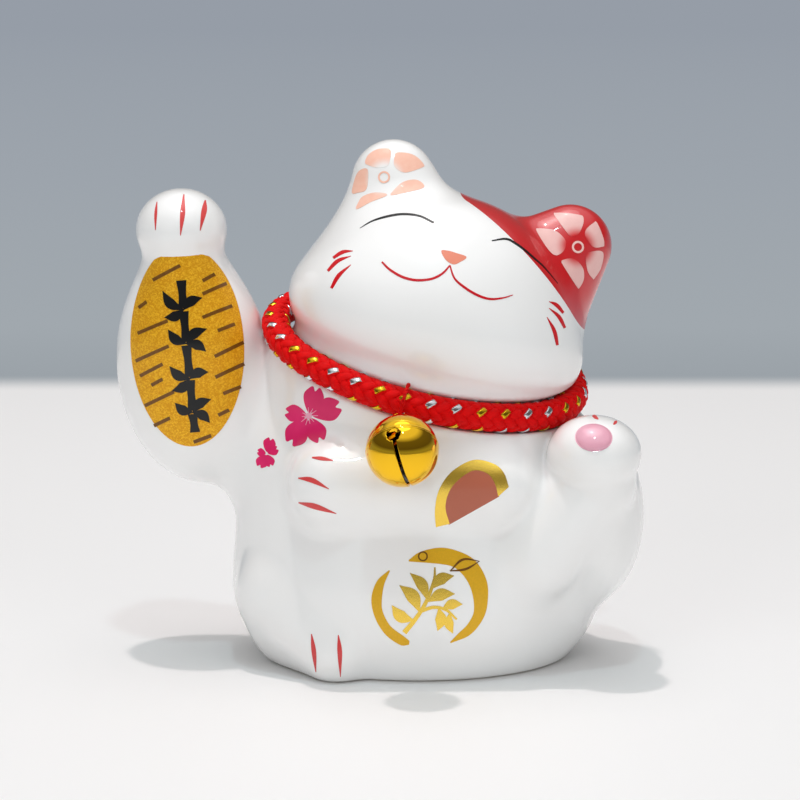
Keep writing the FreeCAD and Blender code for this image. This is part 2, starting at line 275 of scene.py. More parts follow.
def piece(name, points, faces, materials, body="root", slot="glaze", marks=None, normals=None, replaces=(),
          uv=None):
    """A mesh object in metres that rides a body."""
    mesh = bpy.data.meshes.new(name)
    mesh.from_pydata((np.asarray(points) * MM).tolist(), [], [list(map(int, face)) for face in faces])
    for material in materials:
        mesh.materials.append(material)
    if marks is not None:
        mesh.polygons.foreach_set("material_index", np.asarray(marks, np.int32))
    mesh.polygons.foreach_set("use_smooth", np.ones(len(mesh.polygons), bool))
    if uv is not None:
        corners = np.zeros(len(mesh.loops), np.int32)
        mesh.loops.foreach_get("vertex_index", corners)
        mesh.uv_layers.new(name="UVMap").data.foreach_set("uv", np.asarray(uv, np.float32)[corners].ravel())
    mesh.update()
    if normals is not None:
        mesh.normals_split_custom_set_from_vertices(np.asarray(normals).tolist())
    thing = bpy.data.objects.new(name, mesh)
    bpy.context.scene.collection.objects.link(thing)
    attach(thing, body)
    if replaces:
        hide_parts(*replaces)
    return thing


class Parts:
    """Points and faces gathered for one object."""

    def __init__(self):
        self.points, self.faces, self.normals, self.uv, self.count = [], [], [], [], 0

    def add(self, points, faces, normals=None, uv=None):
        self.points.append(np.asarray(points, float))
        self.faces += [[i + self.count for i in face] for face in faces]
        if normals is not None:
            self.normals.append(normals)
        if uv is not None:
            self.uv.append(uv)
        self.count += len(points)

    def make(self, name, materials, **settings):
        return piece(name, np.concatenate(self.points), self.faces, materials,
                     normals=np.concatenate(self.normals) if self.normals else None,
                     uv=np.concatenate(self.uv) if self.uv else None, **settings)


# --- materials ---
FINE_RELIEF, COARSE_RELIEF = 0.0002, 0.0004         # depth of a relief, metres


def colour(red, green, blue):
    """A display colour, 0 to 255, as linear light."""
    return tuple((v / 255 / 12.92 if v < 10 else ((v / 255 + 0.055) / 1.055) ** 2.4)
                 for v in (red, green, blue)) + (1.0,)


def add_node(tree, kind, **inputs):
    """A new shader node with some of its inputs set; an underscore stands for a space."""
    node = tree.nodes.new("ShaderNode" + kind)
    for key, value in inputs.items():
        node.inputs[key.replace("_", " ")].default_value = value
    return node


def link(source, target):
    source.id_data.links.new(source, target)


def coordinates(tree, kind):
    """An output of the shader's texture coordinates."""
    return next(node for node in tree.nodes if node.type == "TEX_COORD").outputs[kind]


def link_shader(output, key):
    link(output, output.id_data.nodes["Principled BSDF"].inputs[key])


def link_mix(tree, share, first, second):
    """Colours the surface with a mix of a colour and of a second colour or another node's output."""
    mix = add_node(tree, "Mix")
    mix.data_type = "RGBA"
    mix.inputs["A"].default_value = first
    if isinstance(second, tuple):
        mix.inputs["B"].default_value = second
    else:
        link(second, mix.inputs["B"])
    link(share, mix.inputs["Factor"])
    link_shader(mix.outputs["Result"], "Base Color")


def link_relief(tree, height, strength, depth=FINE_RELIEF):
    """Raises the surface by another node's output; depth is in metres."""
    relief = add_node(tree, "Bump", Strength=strength, Distance=depth)
    link(height, relief.inputs["Height"])
    link_shader(relief.outputs["Normal"], "Normal")


def material(name, base, roughness=0.4, metallic=0.0, coat=0.0, coat_roughness=0.03, speckle=0.05,
             grain=300.0, bump=0.0, bump_grain=None, second=None, subsurface=0.0, shine=0.5):
    """A shader with a fine procedural variation of its colour, and a relief where bump is above zero."""
    result = bpy.data.materials.new(name)
    result.use_nodes = True
    tree = result.node_tree
    for key, value in (("Roughness", roughness), ("Metallic", metallic), ("Coat Weight", coat),
                       ("Coat Roughness", coat_roughness), ("Specular IOR Level", shine),
                       ("Subsurface Weight", subsurface), ("Subsurface Scale", 0.002)):
        tree.nodes["Principled BSDF"].inputs[key].default_value = value
    place = add_node(tree, "TexCoord").outputs["Object"]
    noise = add_node(tree, "TexNoise", Scale=grain, Detail=3.0)
    link(place, noise.inputs["Vector"])
    link_mix(tree, noise.outputs["Fac"], base, second or tuple(v * (1 - speckle) for v in base[:3]) + (1.0,))
    if bump:
        fine = add_node(tree, "TexNoise", Scale=bump_grain or grain)
        link(place, fine.inputs["Vector"])
        link_relief(tree, fine.outputs["Fac"], bump, COARSE_RELIEF)
    return result


def glaze(name, base, **settings):
    return material(name, base, roughness=0.35, coat=1.0, bump=0.03, bump_grain=90.0, **settings)


def paint(name, base, **settings):
    return material(name, base, roughness=0.4, coat=0.35, shine=0.25, bump=0.03, bump_grain=90.0, **settings)


def fading(look, inner, middle, near, far):
    """Lets a paint fade into another colour towards a point in millimetres."""
    tree = look.node_tree
    gap = add_node(tree, "VectorMath")
    gap.operation = "DISTANCE"
    gap.inputs[1].default_value = [v * MM for v in middle]
    link(coordinates(tree, "Object"), gap.inputs[0])
    share = add_node(tree, "MapRange", From_Min=near * MM, From_Max=far * MM)
    share.interpolation_type = "SMOOTHSTEP"
    link(gap.outputs["Value"], share.inputs["Value"])
    outer = tree.nodes["Principled BSDF"].inputs["Base Color"].links[0].from_socket
    link_mix(tree, share.outputs["Result"], inner, outer)


def glitter(name, base, bright):
    """Gold flakes in lacquer: small cells that each tilt and shine their own way."""
    result = material(name, base, roughness=0.5, metallic=0.3, coat=0.12, coat_roughness=0.15, shine=0.3)
    tree = result.node_tree
    cells = add_node(tree, "TexVoronoi", Scale=3600.0)
    link(coordinates(tree, "Object"), cells.inputs["Vector"])
    tone = add_node(tree, "SeparateColor")
    link(cells.outputs["Color"], tone.inputs["Color"])
    ramp = add_node(tree, "ValToRGB")
    dark, light = ramp.color_ramp.elements
    dark.position, dark.color, light.color = 0.35, base, bright
    link(tone.outputs["Red"], ramp.inputs["Fac"])
    link_shader(ramp.outputs["Color"], "Base Color")
    link_relief(tree, tone.outputs["Green"], 0.35)
    return result


def fibre(name, base, dark, stripes=9.0):
    """Satin yarn with fine filaments along the strand, read from the strand's own coordinates."""
    result = material(name, base, roughness=0.6, second=dark, grain=700.0, shine=0.12)
    tree = result.node_tree
    lines = add_node(tree, "TexWave", Scale=stripes, Distortion=1.5)
    lines.bands_direction = "Y"
    link(coordinates(tree, "UV"), lines.inputs["Vector"])
    link_relief(tree, lines.outputs["Fac"], 0.35)
    return result


WHITE, RED = colour(243, 243, 242), colour(206, 12, 24)
white = glaze("white_glaze", WHITE, speckle=0.02, grain=40.0)
red = glaze("red_glaze", RED, speckle=0.12, grain=60.0)
biscuit = material("bare_biscuit", colour(226, 220, 208), roughness=0.85, speckle=0.12, bump=0.15)
peach = paint("peach_paint", colour(244, 184, 160), second=colour(248, 202, 182), grain=900.0)
blush = paint("blush_paint", colour(238, 190, 182), second=colour(242, 206, 198), grain=900.0)
black = paint("black_paint", colour(10, 11, 13), grain=800.0)
crimson = paint("crimson_paint", colour(200, 4, 28), grain=800.0)
scarlet = paint("scarlet_paint", colour(206, 6, 22), grain=800.0)
coral = paint("coral_paint", colour(220, 84, 82), second=colour(206, 54, 56), grain=500.0)
salmon = paint("salmon_paint", colour(232, 138, 112), grain=800.0)
magenta = paint("magenta_paint", colour(240, 44, 118), second=colour(200, 12, 84), grain=120.0)
petal_light = paint("petal_light_paint", colour(248, 176, 200), grain=600.0)
brown = paint("brown_paint", colour(182, 104, 80), second=colour(172, 92, 70), grain=60.0)
bronze = paint("bronze_ink", colour(84, 48, 2), second=colour(130, 84, 14), grain=1200.0)
foil = material("gold_foil", colour(255, 214, 84), roughness=0.26, metallic=0.8, coat=0.3, speckle=0.12,
                grain=900.0, bump=0.05, bump_grain=1500.0)
gold_paint = material("gold_paint", colour(238, 184, 36), roughness=0.45, metallic=0.35, coat=0.25, shine=0.3,
                      speckle=0.2, grain=2500.0, bump=0.1, bump_grain=3000.0)
koban_gold = glitter("koban_gold", colour(222, 154, 4), colour(246, 192, 40))
pink = glaze("pink_enamel", colour(216, 140, 162), second=colour(234, 176, 194), grain=160.0)
yarn = fibre("red_yarn", colour(236, 6, 8), colour(206, 2, 6))
core_yarn = material("core_yarn", colour(150, 2, 6), roughness=0.8, shine=0.1, grain=500.0)
thread = fibre("red_thread", colour(232, 8, 10), colour(190, 4, 8), stripes=4.0)
silver_film = material("silver_film", colour(225, 228, 232), roughness=0.18, metallic=1.0, bump=0.1, grain=700)
gold_film = material("gold_film", colour(236, 190, 40), roughness=0.18, metallic=1.0, bump=0.1, grain=700.0)
bell_gold = material("plated_gold", colour(255, 200, 44), roughness=0.04, metallic=1.0, speckle=0.06,
                     grain=200.0)
steel = material("pellet_steel", colour(120, 120, 122), roughness=0.35, metallic=1.0)
rubber = material("stopper_rubber", colour(228, 228, 222), roughness=0.5, subsurface=0.3, bump=0.05)

# --- the glazed skin: white, a red patch round one ear, and a bare foot and inside ---
SKIN_CELL = 0.7
BARE_BELOW, INSIDE_FROM = 0.25, 0.35     # height of the bare foot, depth at which the inside is bare
PATCH_FACE = (unit(vec(0.72, 0.30, 0.63)), vec(20.7, -10.8, 88.0))     # direction into the patch, point
PATCH_FOOT = (unit(vec(0.2, -0.1, 0.97)), vec(33.0, 0.0, 71.0))


def patch_value(p):
    """Above zero on the red patch of the head."""
    across = (p - PATCH_FACE[1]) @ PATCH_FACE[0]
    above = (p - PATCH_FOOT[1]) @ PATCH_FOOT[0]
    beside = ((p - HEAD_MIDDLE) @ turned(HEAD_TILT))[..., 0] + 2.5
    return join(join(across, above, 6.0), beside, 2.0)


points, quads = surface(casting, (-70, -42, -1.4), (56, 46, 121), SKIN_CELL)
faces = triangles(quads)
marks = np.zeros(len(faces), int)
points, faces, marks = divided(points, faces, marks, patch_value(points), 1)
bare = np.maximum(BARE_BELOW - points[:, 2], -INSIDE_FROM - skin(points))
points, faces, marks = divided(points, faces, marks, bare, 2)
piece("glazed_skin", points, faces, [white, red, biscuit], marks=marks, normals=slope(casting, points),
      replaces=("torso_casting", "head_casting", "raised_arm_casting", "raised_leg_casting"))

# --- painted decorations: thin shapes pressed on the skin along the front view ---
FRONT_LEAN = math.radians(10.0)     # the front view looks down at this angle
SIGHT = vec(0, math.cos(FRONT_LEAN), -math.sin(FRONT_LEAN))
RISE = vec(0, math.sin(FRONT_LEAN), math.cos(FRONT_LEAN))
PAINT = 0.05                        # how far paint stands out of the glaze
SKIRT = 0.12                        # how deep the edge of a painted shape goes below the skin
IN_FRONT, SIGHT_STEPS = 60.0, 90    # where the way to the surface starts, and its number of steps


def pressed(places, field):
    """Points of the front view, as x and height in millimetres, moved back onto a surface."""
    places = np.asarray(places, float)
    p = places[:, :1] * vec(1, 0, 0) + places[:, 1:] * RISE - IN_FRONT * SIGHT
    for _ in range(SIGHT_STEPS):
        p = p + np.clip(field(p), -3, 12)[:, None] * 0.9 * SIGHT
    return p


def spaced(line, count, endpoint=True):
    """Points evenly spaced along a line."""
    run = np.concatenate([[0], np.cumsum(np.linalg.norm(np.diff(line, axis=0), axis=1))])
    even = np.linspace(0, run[-1], count, endpoint=endpoint)
    return np.stack([np.interp(even, run, line[:, k]) for k in range(line.shape[1])], 1)


def curve(places, count):
    """A smooth open line through places, with count points evenly spaced along it."""
    places = np.asarray(places, float)
    ends = np.concatenate([[2 * places[0] - places[1]], places, [2 * places[-1] - places[-2]]])
    line = []
    for i in range(len(places) - 1):
        a, b, c, d = ends[i:i + 4]
        t = np.linspace(0, 1, 13)[:-1, None]
        line.append(0.5 * (2 * b + (c - a) * t + (2 * a - 5 * b + 4 * c - d) * t ** 2
                           + (3 * b - a - 3 * c + d) * t ** 3))
    return spaced(np.concatenate(line + [places[-1:]]), count)


def loop(places, count):
    """A smooth closed line through places."""
    places = np.asarray(places, float)
    line = curve(np.concatenate([places[-2:], places, places[:2]]), 6 * count)
    first = np.argmin(np.linalg.norm(line - places[0], axis=1)[:3 * count])
    last = 3 * count + np.argmin(np.linalg.norm(line - places[0], axis=1)[3 * count:])
    return spaced(line[first:last], count, endpoint=False)


def signed_area(outline):
    x, y = np.asarray(outline).T
    return 0.5 * (x * np.roll(y, -1) - y * np.roll(x, -1)).sum()


class Paint(Parts):
    """Painted shapes of one colour, gathered for one object."""

    def __init__(self, field=skin, lift=PAINT):
        super().__init__()
        self.field, self.lift = field, lift

    def press(self, places, faces, edge, lifts=None):
        """Adds faces between places, with a skirt from the edge down into the skin."""
        on_skin = pressed(places, self.field)
        normal = slope(self.field, on_skin)
        lifts = self.lift if lifts is None else np.asarray(lifts)[:, None]
        top = on_skin + normal * lifts
        skirt = on_skin[edge] - normal[edge] * SKIRT
        low = np.arange(len(edge)) + len(places)
        wall = [[edge[i], low[i], low[(i + 1) % len(edge)], edge[(i + 1) % len(edge)]]
                for i in range(len(edge))]
        a, b, c = (top[[face[k] for face in faces]] for k in range(3))
        if (np.cross(b - a, c - a) * normal[[face[0] for face in faces]]).sum() < 0:
            faces = [face[::-1] for face in faces]
        if signed_area(places[edge]) > 0:
            wall = [face[::-1] for face in wall]
        self.add(np.concatenate([top, skirt]), list(faces) + wall, np.concatenate([normal, normal[edge]]))

    def strip(self, grid):
        """Presses a strip given as rows of points."""
        count, width = grid.shape[:2]
        faces = [[i * width + j, i * width + j + 1, (i + 1) * width + j + 1, (i + 1) * width + j]
                 for i in range(count - 1) for j in range(width - 1)]
        edge = (list(range(width - 1)) + [i * width + width - 1 for i in range(count - 1)]
                + [(count - 1) * width + j for j in range(width - 1, 0, -1)]
                + [i * width for i in range(count - 1, 0, -1)])
        self.press(grid.reshape(-1, 2), faces, edge)

    def between(self, left, right, count=24, across=4):
        """Fills the space between two lines."""
        left, right = curve(left, count), curve(right, count)
        share = np.linspace(0, 1, across + 1)[None, :, None]
        self.strip(left[:, None] * (1 - share) + right[:, None] * share)

    def stroke(self, places, widths, count=24, across=3):
        """A brush stroke along a line, whose width changes from point to point."""
        line = curve(np.column_stack([places, np.interp(np.linspace(0, 1, len(places)),
                                                        np.linspace(0, 1, len(widths)), widths)]), count)
        along = np.gradient(line[:, :2], axis=0)
        side = unit(np.stack([-along[:, 1], along[:, 0]], 1)) * np.maximum(line[:, 2:], 0.04) / 2
        share = np.linspace(-1, 1, across + 1)[None, :, None]
        self.strip(line[:, None, :2] + side[:, None] * share)

    def patch(self, outline, middle=None, count=40, rings=5, smooth=True, profile=None):
        """A filled shape round a middle point."""
        rim = loop(outline, count) if smooth else corners(outline, count)
        middle = rim.mean(0) if middle is None else vec(*middle)
        reach = np.linspace(0, 1, rings + 1)[1:]
        grid = [middle[None]] + [middle + (rim - middle) * r for r in reach]
        faces = [[0, 1 + i, 1 + (i + 1) % count] for i in range(count)]
        for ring in range(rings - 1):
            near, far = 1 + ring * count, 1 + (ring + 1) * count
            faces += [[near + i, far + i, far + (i + 1) % count, near + (i + 1) % count] for i in range(count)]
        edge = [1 + (rings - 1) * count + i for i in range(count)]
        lifts = None
        if profile:
            lifts = [profile(0)] + [profile(r) for r in reach for _ in range(count)]
        self.press(np.concatenate(grid), faces, edge, lifts)


def corners(outline, count):
    """A closed outline with straight sides, as count points that keep its corners."""
    outline = np.asarray(outline, float)
    sides = np.roll(outline, -1, 0) - outline
    shares = np.linalg.norm(sides, axis=1) / np.linalg.norm(sides, axis=1).sum()
    each = np.maximum(1, np.round(shares * count).astype(int))
    while each.sum() != count:
        each[np.argmax(each)] += np.sign(count - each.sum())
    return np.concatenate([outline[i] + sides[i] * np.linspace(0, 1, n, endpoint=False)[:, None]
                           for i, n in enumerate(each)])


# --- the face ---
face_ink = Paint()
face_ink.stroke([(-15.0, 91.8), (-12.4, 93.3), (-9.0, 94.3), (-5.7, 94.7), (-2.3, 94.2), (0.6, 92.7)],
                [0.1, 0.35, 0.5, 0.5, 0.45, 0.4], 40)
face_ink.stroke([(12.8, 88.9), (15.9, 89.4), (18.0, 88.4), (20.1, 86.9), (22.0, 85.3), (24.0, 83.6),
                 (27.0, 80.2)], [0.25, 0.45, 0.5, 0.45, 0.4, 0.3, 0.1], 40)
face_ink.make("eye_lines", [black])

mouth = Paint()
mouth.stroke([(-10.3, 84.3), (-8.6, 82.6), (-6.1, 81.1), (-3.6, 80.4), (-1.3, 80.4), (0.6, 80.8), (2.5, 81.9),
              (3.9, 83.5)], [0.4, 0.5, 0.55, 0.55, 0.5, 0.5, 0.45, 0.3], 44)
mouth.stroke([(3.9, 83.5), (4.7, 81.0), (6.2, 79.4), (9.1, 77.5), (12.0, 76.5), (14.8, 76.7), (17.1, 77.4)],
             [0.3, 0.4, 0.5, 0.55, 0.5, 0.35, 0.15], 44)
mouth.make("mouth_lines", [crimson])

nose = Paint()
nose.patch([(2.1, 86.6), (3.6, 86.6), (5.0, 86.2), (7.4, 85.3), (6.0, 84.2), (4.6, 83.7), (3.0, 84.7)],
           (4.6, 85.2))
nose.make("nose_paint", [salmon])

whiskers = Paint()
for places in (
        [(-20.6, 85.4), (-18.6, 86.6), (-16.4, 86.8)], [(-21.7, 82.6), (-19.6, 84.7), (-16.8, 85.7)],
        [(-20.9, 78.9), (-19.3, 81.6), (-16.8, 83.8)], [(28.1, 73.9), (26.6, 75.5), (24.9, 76.2)],
        [(28.4, 70.7), (27.1, 73.0), (24.9, 74.8)], [(26.7, 67.0), (26.0, 70.0), (24.4, 72.9)]):
    whiskers.stroke(places, [0.6, 0.95, 0.7, 0.12], 20)
whiskers.make("whisker_strokes", [scarlet])


def flower(side, middle, petals, looks, ground, near, far):
    """Petals as closed outlines from the middle of a flower, which fade into the ground towards it."""
    shapes = Paint()
    for outline in petals:
        shapes.patch(vec(*middle) + np.array(outline, float), rings=4)
    look = paint(side + "_petal_paint", looks[0], second=looks[1], grain=900.0)
    fading(look, ground, pressed([middle], skin)[0], near, far)
    shapes.make(side + "_ear_petals", [look])


LEFT_FLOWER, RIGHT_FLOWER = (-9.9, 103.0), (31.6, 88.2)
flower("left", LEFT_FLOWER, [
    [(-4.1, 3.4), (-3.4, 5.0), (-1.4, 6.2), (1.2, 6.3), (1.5, 5.9), (1.3, 4.0), (0.7, 2.4), (-1.6, 2.1),
     (-3.8, 2.9)],
    [(2.8, 5.4), (5.0, 5.3), (6.9, 4.6), (8.5, 2.9), (8.1, 2.2), (4.4, 1.0), (2.2, 2.4), (2.3, 4.8)],
    [(8.4, -2.3), (8.0, -1.1), (6.4, -0.5), (3.8, -1.2), (1.7, -3.3), (1.6, -4.0), (5.0, -3.3)],
    [(-5.9, -6.9), (-5.3, -5.0), (-4.4, -4.0), (-2.0, -3.3), (0.4, -3.6), (0.3, -4.2), (-2.8, -5.4)],
    [(-6.9, -3.1), (-6.2, 0.2), (-5.2, 1.7), (-3.6, 1.9), (-3.4, -0.4), (-3.9, -2.7), (-5.6, -3.2)]],
    (colour(244, 184, 160), colour(248, 202, 182)), WHITE, 2.0, 4.8)
flower("right", RIGHT_FLOWER, [
    [(-5.0, 7.2), (-4.5, 7.5), (-2.0, 7.4), (0.9, 6.9), (1.3, 6.5), (1.2, 5.0), (0.1, 2.8), (-1.5, 2.3),
     (-3.1, 4.2)],
    [(4.2, 5.5), (5.6, 2.2), (5.8, 0.5), (5.4, 0.2), (3.4, 0.1), (1.7, 2.2), (1.8, 3.8), (3.6, 5.4)],
    [(5.5, -0.9), (5.2, -4.2), (3.7, -6.6), (3.3, -6.6), (2.2, -5.2), (1.7, -2.3), (2.4, -1.1)],
    [(-3.6, -3.0), (-1.1, -2.5), (1.0, -4.3), (1.3, -6.8), (0.3, -8.8), (-0.1, -8.7), (-1.6, -6.6),
     (-3.4, -3.8)],
    [(-9.0, 3.7), (-8.4, 4.0), (-5.0, 3.6), (-2.7, 1.4), (-3.0, -0.7), (-4.7, -1.9), (-6.2, -1.0),
     (-7.9, 1.5)]],
    (colour(236, 192, 186), colour(230, 180, 176)), RED, 2.2, 5.2)


def ring(ink, middle, radius, width):
    """A thin painted circle."""
    turn = np.linspace(0, 2 * math.pi, 13)
    places = vec(*middle) + radius * np.column_stack([np.cos(turn), np.sin(turn)])
    ink.stroke(places, [width, width], 48, 2)


left_ring, right_ring = Paint(lift=PAINT + 0.02), Paint(lift=PAINT + 0.02)
ring(left_ring, LEFT_FLOWER, 1.1, 0.4)
ring(right_ring, RIGHT_FLOWER, 1.1, 0.45)
left_ring.make("left_ear_ring", [peach])
right_ring.make("right_ear_ring", [blush])

claws = Paint()
for places, widths in (
        ([(-58.3, 97.7), (-58.4, 95.0), (-58.4, 91.5)], [0.2, 0.65, 0.6, 0.15]),
        ([(-52.6, 99.3), (-52.6, 95.0), (-53.0, 90.3)], [0.25, 1.2, 0.9, 0.15]),
        ([(-48.1, 98.1), (-48.2, 95.6), (-48.9, 91.4)], [0.3, 1.2, 1.1, 0.7, 0.15]),
        ([(-24.9, 43.4), (-22.8, 43.2), (-20.4, 42.8)], [0.3, 0.9, 0.8, 0.5, 0.15]),
        ([(-27.8, 39.1), (-24.9, 38.7), (-21.3, 36.9)], [0.25, 1.1, 1.1, 0.7, 0.15]),
        ([(-27.8, 33.9), (-24.3, 33.2), (-19.8, 31.7)], [0.25, 1.2, 1.2, 0.8, 0.15]),
        ([(-25.2, 6.0), (-24.7, 2.4), (-24.3, -2.2)], [0.2, 0.9, 1.0, 0.6, 0.15]),
        ([(-19.5, 5.9), (-19.2, 2.4), (-19.1, -3.1)], [0.2, 0.9, 1.0, 0.6, 0.15]),
        ([(34.0, 52.1), (34.5, 51.9), (35.1, 51.4)], [0.3, 0.8, 0.2]),
        ([(39.1, 51.0), (38.7, 50.7), (38.2, 50.3)], [0.3, 0.6, 0.2])):
    claws.stroke(places, widths, 24)
claws.make("claw_strokes", [coral])


def blossom(ink, middle, tips, spread):
    """Notched petals from the middle of a blossom to their tips."""
    middle = vec(*middle)
    for tip in tips:
        out = vec(*tip) - middle
        side = vec(-out[1], out[0]) * spread
        shape = [middle + out * along + side * across for along, across in
                 ((0.1, 0), (0.4, 0.75), (0.72, 1.0), (0.98, 0.55), (1.02, 0.28), (0.87, 0), (1.02, -0.28),
                  (0.98, -0.55), (0.72, -1.0), (0.4, -0.75))]
        ink.patch(shape, middle + out * 0.6, count=56, rings=4)


BLOSSOM = (-25.8, 52.1)
BLOSSOM_TIPS = [(-24.2, 58.0), (-19.2, 54.2), (-23.2, 46.9), (-29.8, 46.3), (-30.8, 52.9)]
blossoms = Paint()
blossom(blossoms, BLOSSOM, BLOSSOM_TIPS, 0.36)
blossom(blossoms, (-35.0, 44.0), [(-34.1, 47.2), (-32.6, 45.1), (-34.0, 41.4), (-36.6, 41.2), (-37.0, 44.4)],
        0.42)
blossoms.make("blossom_petals", [magenta])
veins = Paint(lift=PAINT + 0.03)
for tip in BLOSSOM_TIPS:
    out = vec(*tip) - vec(*BLOSSOM)
    for lean in (-0.3, 0.3):
        way = vec(out[0] - out[1] * lean, out[1] + out[0] * lean)
        veins.stroke([BLOSSOM, BLOSSOM + way * 0.28], [0.22, 0.1], 8, 2)
ring(veins, BLOSSOM, 0.55, 0.2)
veins.make("blossom_veins", [petal_light])

# --- the gilded half disc and the round gilded mark on the belly ---
BAND_INSIDE = [(3.9, 29.5), (3.0, 33.0), (3.7, 36.2), (5.6, 38.7), (8.8, 40.7), (11.7, 40.1), (13.3, 38.0),
               (14.0, 35.3)]
DISC_MIDDLE = vec(8.2, 35.2)
half_band = Paint()
half_band.between(
    [(1.0, 28.8), (0.8, 32.5), (1.6, 36.6), (4.2, 40.4), (8.8, 42.9), (13.1, 42.1), (15.2, 40.2),
     (16.2, 37.3)], BAND_INSIDE, 48, 5)
half_band.make("half_disc_band", [foil])
half_disc = Paint(lift=PAINT - 0.015)
half_disc.patch(DISC_MIDDLE + (curve(BAND_INSIDE, 40) - DISC_MIDDLE) * 1.04, DISC_MIDDLE,
                count=96, smooth=False)             # a little under the band
half_disc.make("half_disc_field", [brown])

crescents = Paint()
crescents.between(
    [(-8.8, 19.8), (-11.3, 17.5), (-12.5, 13.8), (-11.8, 9.9), (-9.6, 6.2), (-6.4, 3.9), (-4.6, 4.0)],
    [(-8.6, 19.6), (-9.8, 16.8), (-10.3, 13.6), (-10.1, 11.0), (-8.5, 8.0), (-5.8, 5.9), (-4.5, 4.8)],
    40, 4)
crescents.between(
    [(-4.7, 21.9), (-2.3, 23.6), (2.0, 24.5), (6.1, 23.6), (9.4, 21.6), (11.6, 17.8), (12.0, 14.1),
     (11.2, 9.9), (8.3, 6.1), (4.2, 4.3)],
    [(-4.6, 21.6), (-1.8, 21.4), (2.5, 21.0), (5.1, 20.2), (7.4, 17.8), (8.7, 14.7), (9.0, 11.0),
     (7.7, 8.3), (6.0, 6.6), (4.0, 4.5)], 56, 5)
crescents.make("round_mark_crescents", [gold_paint])


def leaf(ink, root, tip, width, bow):
    """A pointed leaf with a slight bow."""
    root, tip = vec(*root), vec(*tip)
    side = vec(root[1] - tip[1], tip[0] - root[0])
    ink.stroke([root, (root + tip) / 2 + side * bow, tip], [0.2, 0.8 * width, width, 0.6 * width, 0.1], 24, 4)


sprig = Paint(lift=PAINT + 0.03)
sprig.stroke([(-5.6, 6.6), (-3.2, 9.6), (-1.0, 13.2), (0.6, 17.6), (0.8, 20.4)], [1.1, 0.9, 0.8, 0.6, 0.3], 36)
sprig.stroke([(-2.2, 11.2), (0.6, 12.0), (3.2, 11.4), (5.4, 9.4)], [0.8, 0.7, 0.6, 0.4], 28)
for root, tip, width, bow in (
        ((-3.6, 9.2), (-8.2, 12.4), 2.6, 0.15), ((-2.4, 11.0), (-6.6, 16.6), 2.8, -0.12),
        ((-0.8, 13.6), (-4.4, 19.2), 2.4, -0.12), ((0.3, 16.0), (4.8, 18.6), 2.5, 0.15),
        ((-0.6, 13.2), (5.0, 14.8), 2.6, 0.12), ((2.4, 11.6), (6.6, 12.6), 2.2, 0.12),
        ((1.6, 11.8), (1.4, 7.0), 2.4, 0.12), ((4.0, 10.8), (4.6, 6.4), 2.0, -0.12)):
    leaf(sprig, root, tip, width, bow)
sprig.make("round_mark_sprig", [foil])
outlines = Paint(lift=PAINT + 0.05)
ring(outlines, (-1.7, 22.7), 0.9, 0.3)
leaf(outlines, (4.0, 19.6), (10.2, 21.6), 0.5, 0.22)
leaf(outlines, (4.0, 19.6), (10.2, 21.6), 0.5, -0.1)
outlines.make("round_mark_outlines", [bronze])

# --- the koban on the raised arm ---
KOBAN_LIFT = 0.4
KOBAN = (-52.1, 66.95, 12.1, 21.4)            # middle, half width and half height in the front view
KOBAN_LEAN = -0.03


def koban_face(p):
    return forearm(p) - KOBAN_LIFT


turn = circle(48)
wide, tall = KOBAN[2] * np.cos(turn), KOBAN[3] * np.sin(turn)
oval = np.column_stack([KOBAN[0] + wide + KOBAN_LEAN * tall, KOBAN[1] + tall])
koban = Paint(forearm)
koban.patch(oval, KOBAN[:2], count=120, rings=26,
            profile=lambda r: KOBAN_LIFT * (1 - max(0.0, (r - 0.96) / 0.04) ** 2 * 0.6))
koban.make("koban_gilding", [koban_gold], slot="gilding", replaces=["koban_plate"])

hatching = Paint(koban_face, PAINT)
for start, end in (
        ((-48.5, 80.8), (-46.0, 82.3)), ((-48.5, 78.0), (-43.6, 80.4)), ((-48.5, 73.0), (-42.4, 75.6)),
        ((-45.3, 70.2), (-41.8, 71.7)), ((-46.0, 64.7), (-40.0, 67.8)), ((-45.9, 60.3), (-39.9, 63.2)),
        ((-44.3, 56.8), (-40.6, 58.3)), ((-45.4, 52.2), (-43.1, 53.3)), ((-50.8, 46.4), (-47.0, 47.8)),
        ((-59.2, 81.0), (-53.2, 84.0)), ((-62.4, 75.2), (-60.6, 76.4)), ((-62.6, 69.7), (-55.9, 72.3)),
        ((-63.1, 63.8), (-55.7, 66.9)), ((-62.2, 60.6), (-57.1, 63.1)), ((-59.7, 58.6), (-57.2, 59.9)),
        ((-61.3, 54.2), (-54.8, 57.2)), ((-59.4, 49.9), (-55.8, 51.6))):
    hatching.stroke([start, end], [0.75, 0.75], 10)
hatching.make("koban_hatching", [bronze], slot="gilding")

bamboo = Paint(koban_face, PAINT + 0.03)
KNOTS = [(-53.0, 81.2), (-52.5, 74.6), (-51.9, 67.4), (-51.3, 60.0), (-50.8, 52.8), (-50.4, 48.2)]
for low, high in zip(KNOTS[1:], KNOTS[:-1]):
    low, high = vec(*low) + vec(0, 0.35), vec(*high) - vec(0, 0.35)
    bamboo.stroke([low, (low + high) / 2, high], [2.2, 1.7, 1.6, 1.8, 2.2], 16)
for knot, tips in zip(KNOTS[1:], (
        [(-57.0, 78.6), (-56.6, 73.0), (-48.6, 77.2)], [(-55.8, 70.4), (-47.6, 70.6), (-47.8, 65.8)],
        [(-55.6, 62.6), (-55.2, 57.4), (-47.4, 61.4)], [(-54.6, 54.8), (-46.9, 55.6), (-47.2, 50.6)])):
    for tip in tips:
        leaf(bamboo, knot, tip, 2.2, 0.14)
bamboo.make("koban_bamboo", [black], slot="gilding")

